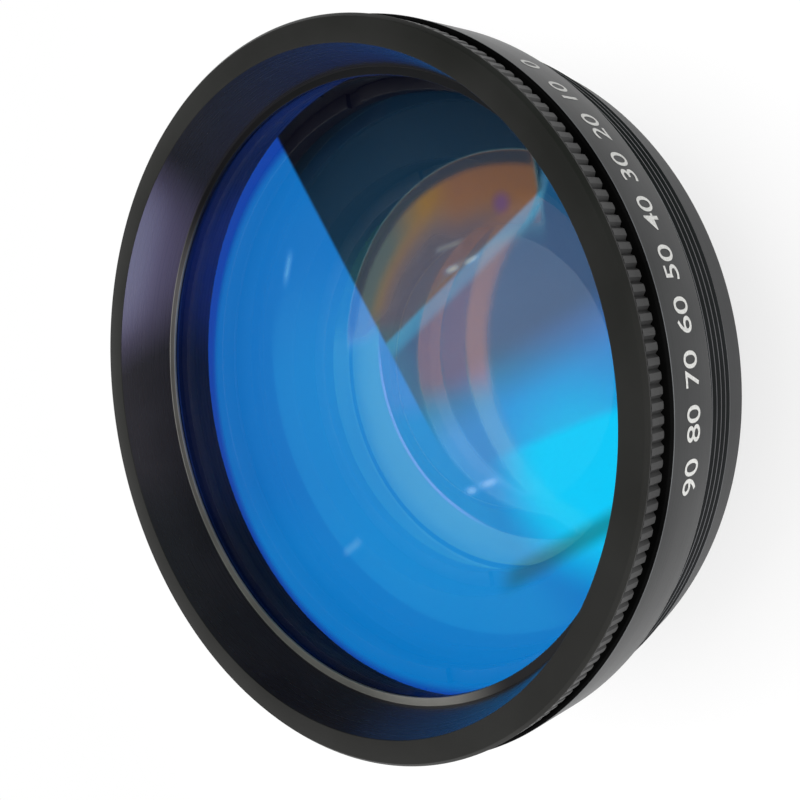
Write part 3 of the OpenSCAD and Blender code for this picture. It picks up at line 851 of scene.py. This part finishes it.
def makeScale():
    inkR = bandR - scale["sunk"] * mm
    labels = []
    for i in range(scale["count"]):
        middle = math.radians(scale["from"] + (scale["to"] - scale["from"]) * i / (scale["count"] - 1))
        deselectAll()
        bpy.ops.object.text_add()
        label = bpy.context.object
        label.data.body = str(scale["first"] + i * scale["step"])
        label.data.size = scale["height"] * mm * scale["sizePerHeight"]
        label.data.align_x = "CENTER"
        label.data.align_y = "CENTER"
        label.data.offset = scale["bold"] * mm
        bpy.ops.object.convert(target="MESH")
        label = bpy.context.object
        bpy.ops.object.mode_set(mode="EDIT")
        bpy.ops.mesh.select_all(action="SELECT")
        bpy.ops.mesh.quads_convert_to_tris()
        bpy.ops.mesh.subdivide(number_cuts=2)
        bpy.ops.object.mode_set(mode="OBJECT")
        # the flat number is wrapped round the band
        for v in label.data.vertices:
            angle = middle + v.co.x / inkR
            v.co = Vector((inkR * math.cos(angle), inkR * math.sin(angle), atDepth(scale["depthMid"]) + v.co.y))
        labels.append(label)
    makeActive(labels[0])
    for label in labels:
        label.select_set(True)
    bpy.ops.object.join()
    obj = bpy.context.object
    obj.name = obj.data.name = "scale_numbers"
    paint(obj, inkFinish)
    place(obj, "scale_white")


makeScale()
print("scale done")


# ---------- stage, light and camera ----------

# size in metres; between fadeFrom and fadeTo, in metres from the axis, the floor turns plain white;
# fadeFrom is below zero, so the floor is partly white at the axis already
floorLook = {
    "size": 4, "colour": (0.93, 0.93, 0.93), "roughness": 0.9, "gloss": 0.1, "fadeFrom": -0.12, "fadeTo": 0.15,
}


def makeStage():
    deselectAll()
    bpy.ops.mesh.primitive_plane_add(size=floorLook["size"], location=(0, 0, 0))
    floor = bpy.context.object
    floor.name = floor.data.name = "floor"
    mat, nodes, links, shader = newMaterial("paleFloor")
    shader.inputs["Base Color"].default_value = (*floorLook["colour"], 1)
    shader.inputs["Roughness"].default_value = floorLook["roughness"]
    shader.inputs["Specular IOR Level"].default_value = floorLook["gloss"]
    # away from the object the camera and glossy rays see it as plain white
    white = nodes.new("ShaderNodeEmission")
    reach = distanceFrom(nodes, links, objectCoords(nodes), (0, 0))
    far = fade(nodes, links, reach, floorLook["fadeFrom"], floorLook["fadeTo"])
    rays = nodes.new("ShaderNodeLightPath")
    either = nodes.new("ShaderNodeMath")
    either.operation = "MAXIMUM"
    links.new(rays.outputs["Is Camera Ray"], either.inputs[0])
    links.new(rays.outputs["Is Glossy Ray"], either.inputs[1])
    both = nodes.new("ShaderNodeMixShader")
    links.new(times(nodes, links, either.outputs[0], far), both.inputs[0])
    links.new(shader.outputs[0], both.inputs[1])
    links.new(white.outputs[0], both.inputs[2])
    links.new(both.outputs[0], nodes["Material Output"].inputs["Surface"])
    paint(floor, mat)


studio = {
    "level": 0.75,
    # a dark screen that stands beyond the object is seen in glass and metal only;
    # each plane is a normal, with the values at which the screen begins and is full
    "left": ((0.3051, -0.7085, 0.6364), -0.002, 0.002),
    "low": ((0.9298, 0.2920, -0.2241), -0.035, 0.035),
    "step": ((0.8222, 0.3930, -0.4118), 0.004, 0.010),
    "screenDark": (0.0, 0.003, 0.010), "screenGrey": (0.24, 0.34, 0.28), "screenEdge": (0.66, 1.0, 0.58),
    "edgeWidth": 0.005, "stepEnd": ((0.1711, 0.8037, -0.5699), -0.014, -0.006),
    # a thin dark bar beyond it, and where the bar ends
    "bar": (-0.9232, -0.377, 0.0748), "barHalf": (0.017, 0.001), "barColour": (1.0, 0.50, 0.42),
    "barStart": ((0.1685, 0.8516, -0.4963), -0.010, 0.004), "barEnd": ((-0.0898, -0.784, 0.6142), -0.004, 0.022),
}


def makeWorld():
    world = bpy.data.worlds.new("studio")
    bpy.context.scene.world = world
    world.use_nodes = True
    nodes, links = world.node_tree.nodes, world.node_tree.links
    background = nodes["Background"]
    direction = nodes.new("ShaderNodeTexCoord").outputs["Generated"]

    def past(normal, nothingAt, fullAt):
        return fade(nodes, links, along(nodes, links, direction, normal), nothingAt, fullAt)

    # the screen, its darker upper part and the pale edge between the two
    inside = times(nodes, links, past(*studio["left"]), past(*studio["low"]))
    reach = past(*studio["stepEnd"])
    screen = blend(nodes, links, times(nodes, links, reach, past(*studio["step"])),
                   studio["screenGrey"], studio["screenDark"])
    normal, stepFrom, stepTo = studio["step"]
    width = studio["edgeWidth"]
    edge = times(nodes, links, past(normal, stepFrom - 2 * width, stepFrom), past(normal, stepTo + width, stepTo))
    screen = blend(nodes, links, times(nodes, links, reach, edge), screen, studio["screenEdge"])
    # the bar
    nothingAt, fullAt = studio["barHalf"]
    bar = times(nodes, links, past(studio["bar"], -nothingAt, -fullAt), past(studio["bar"], nothingAt, fullAt))
    for end in (studio["barStart"], studio["barEnd"]):
        bar = times(nodes, links, bar, past(*end))
    beyond = blend(nodes, links, bar, (1, 1, 1), studio["barColour"])
    mirrored = blend(nodes, links, inside, beyond, screen)
    rays = nodes.new("ShaderNodeLightPath")
    lit = blend(nodes, links, rays.outputs["Is Camera Ray"], (studio["level"],) * 3, (1, 1, 1))
    through = blend(nodes, links, rays.outputs["Is Transmission Ray"], lit, (1, 1, 1))
    links.new(blend(nodes, links, rays.outputs["Is Glossy Ray"], through, mirrored), background.inputs["Color"])
    background.inputs["Strength"].default_value = 1.0


lampAim = Vector((0, 0, 0.03))
lamps = [
    # name, place and size in metres, power in watts
    ("softboxNear", (-0.44, -0.52, 0.24), 0.35, 4.4),
    ("softboxTop", (0.2, 0.2, 0.7), 0.8, 3.5),
]


def areaLight(name, spot, size, power):
    deselectAll()
    bpy.ops.object.light_add(type="AREA", location=spot)
    lamp = bpy.context.object
    lamp.name = lamp.data.name = name
    lamp.data.size = size
    lamp.data.energy = power
    lamp.visible_glossy = False
    lamp.rotation_euler = (lampAim - Vector(spot)).to_track_quat("-Z", "Y").to_euler()


# roll in degrees, pitch as the camera's own up before the roll, shifts in mm, clipping in metres
view = {
    "focal": 46.2, "sensor": 36.0, "roll": 99.93, "pitch": Vector((0, 0.7347, 0.6784)),
    "right": 9.926, "up": 0.213, "back": 119.62, "near": 0.005, "far": 10,
}


def makeCamera():
    roll = math.radians(view["roll"])
    levelX, levelY = Vector((1, 0, 0)), view["pitch"].normalized()
    backwards = levelX.cross(levelY)
    camX = math.cos(roll) * levelX - math.sin(roll) * levelY
    camY = math.sin(roll) * levelX + math.cos(roll) * levelY
    shift = view["right"] * camX + view["up"] * camY + view["back"] * backwards
    deselectAll()
    bpy.ops.object.camera_add(location=Vector((0, 0, faceZ)) + shift * mm)
    cam = bpy.context.object
    cam.rotation_euler = Matrix((camX, camY, backwards)).transposed().to_euler()
    cam.data.lens, cam.data.sensor_width = view["focal"], view["sensor"]
    cam.data.clip_start, cam.data.clip_end = view["near"], view["far"]
    bpy.context.scene.camera = cam


makeStage()
makeWorld()
for lamp in lamps:
    areaLight(*lamp)
makeCamera()
bpy.context.scene.view_settings.view_transform = "Standard"
bpy.context.scene.cycles.transparent_max_bounces = 24      # light goes in and out through eight glass faces
print("stage done")
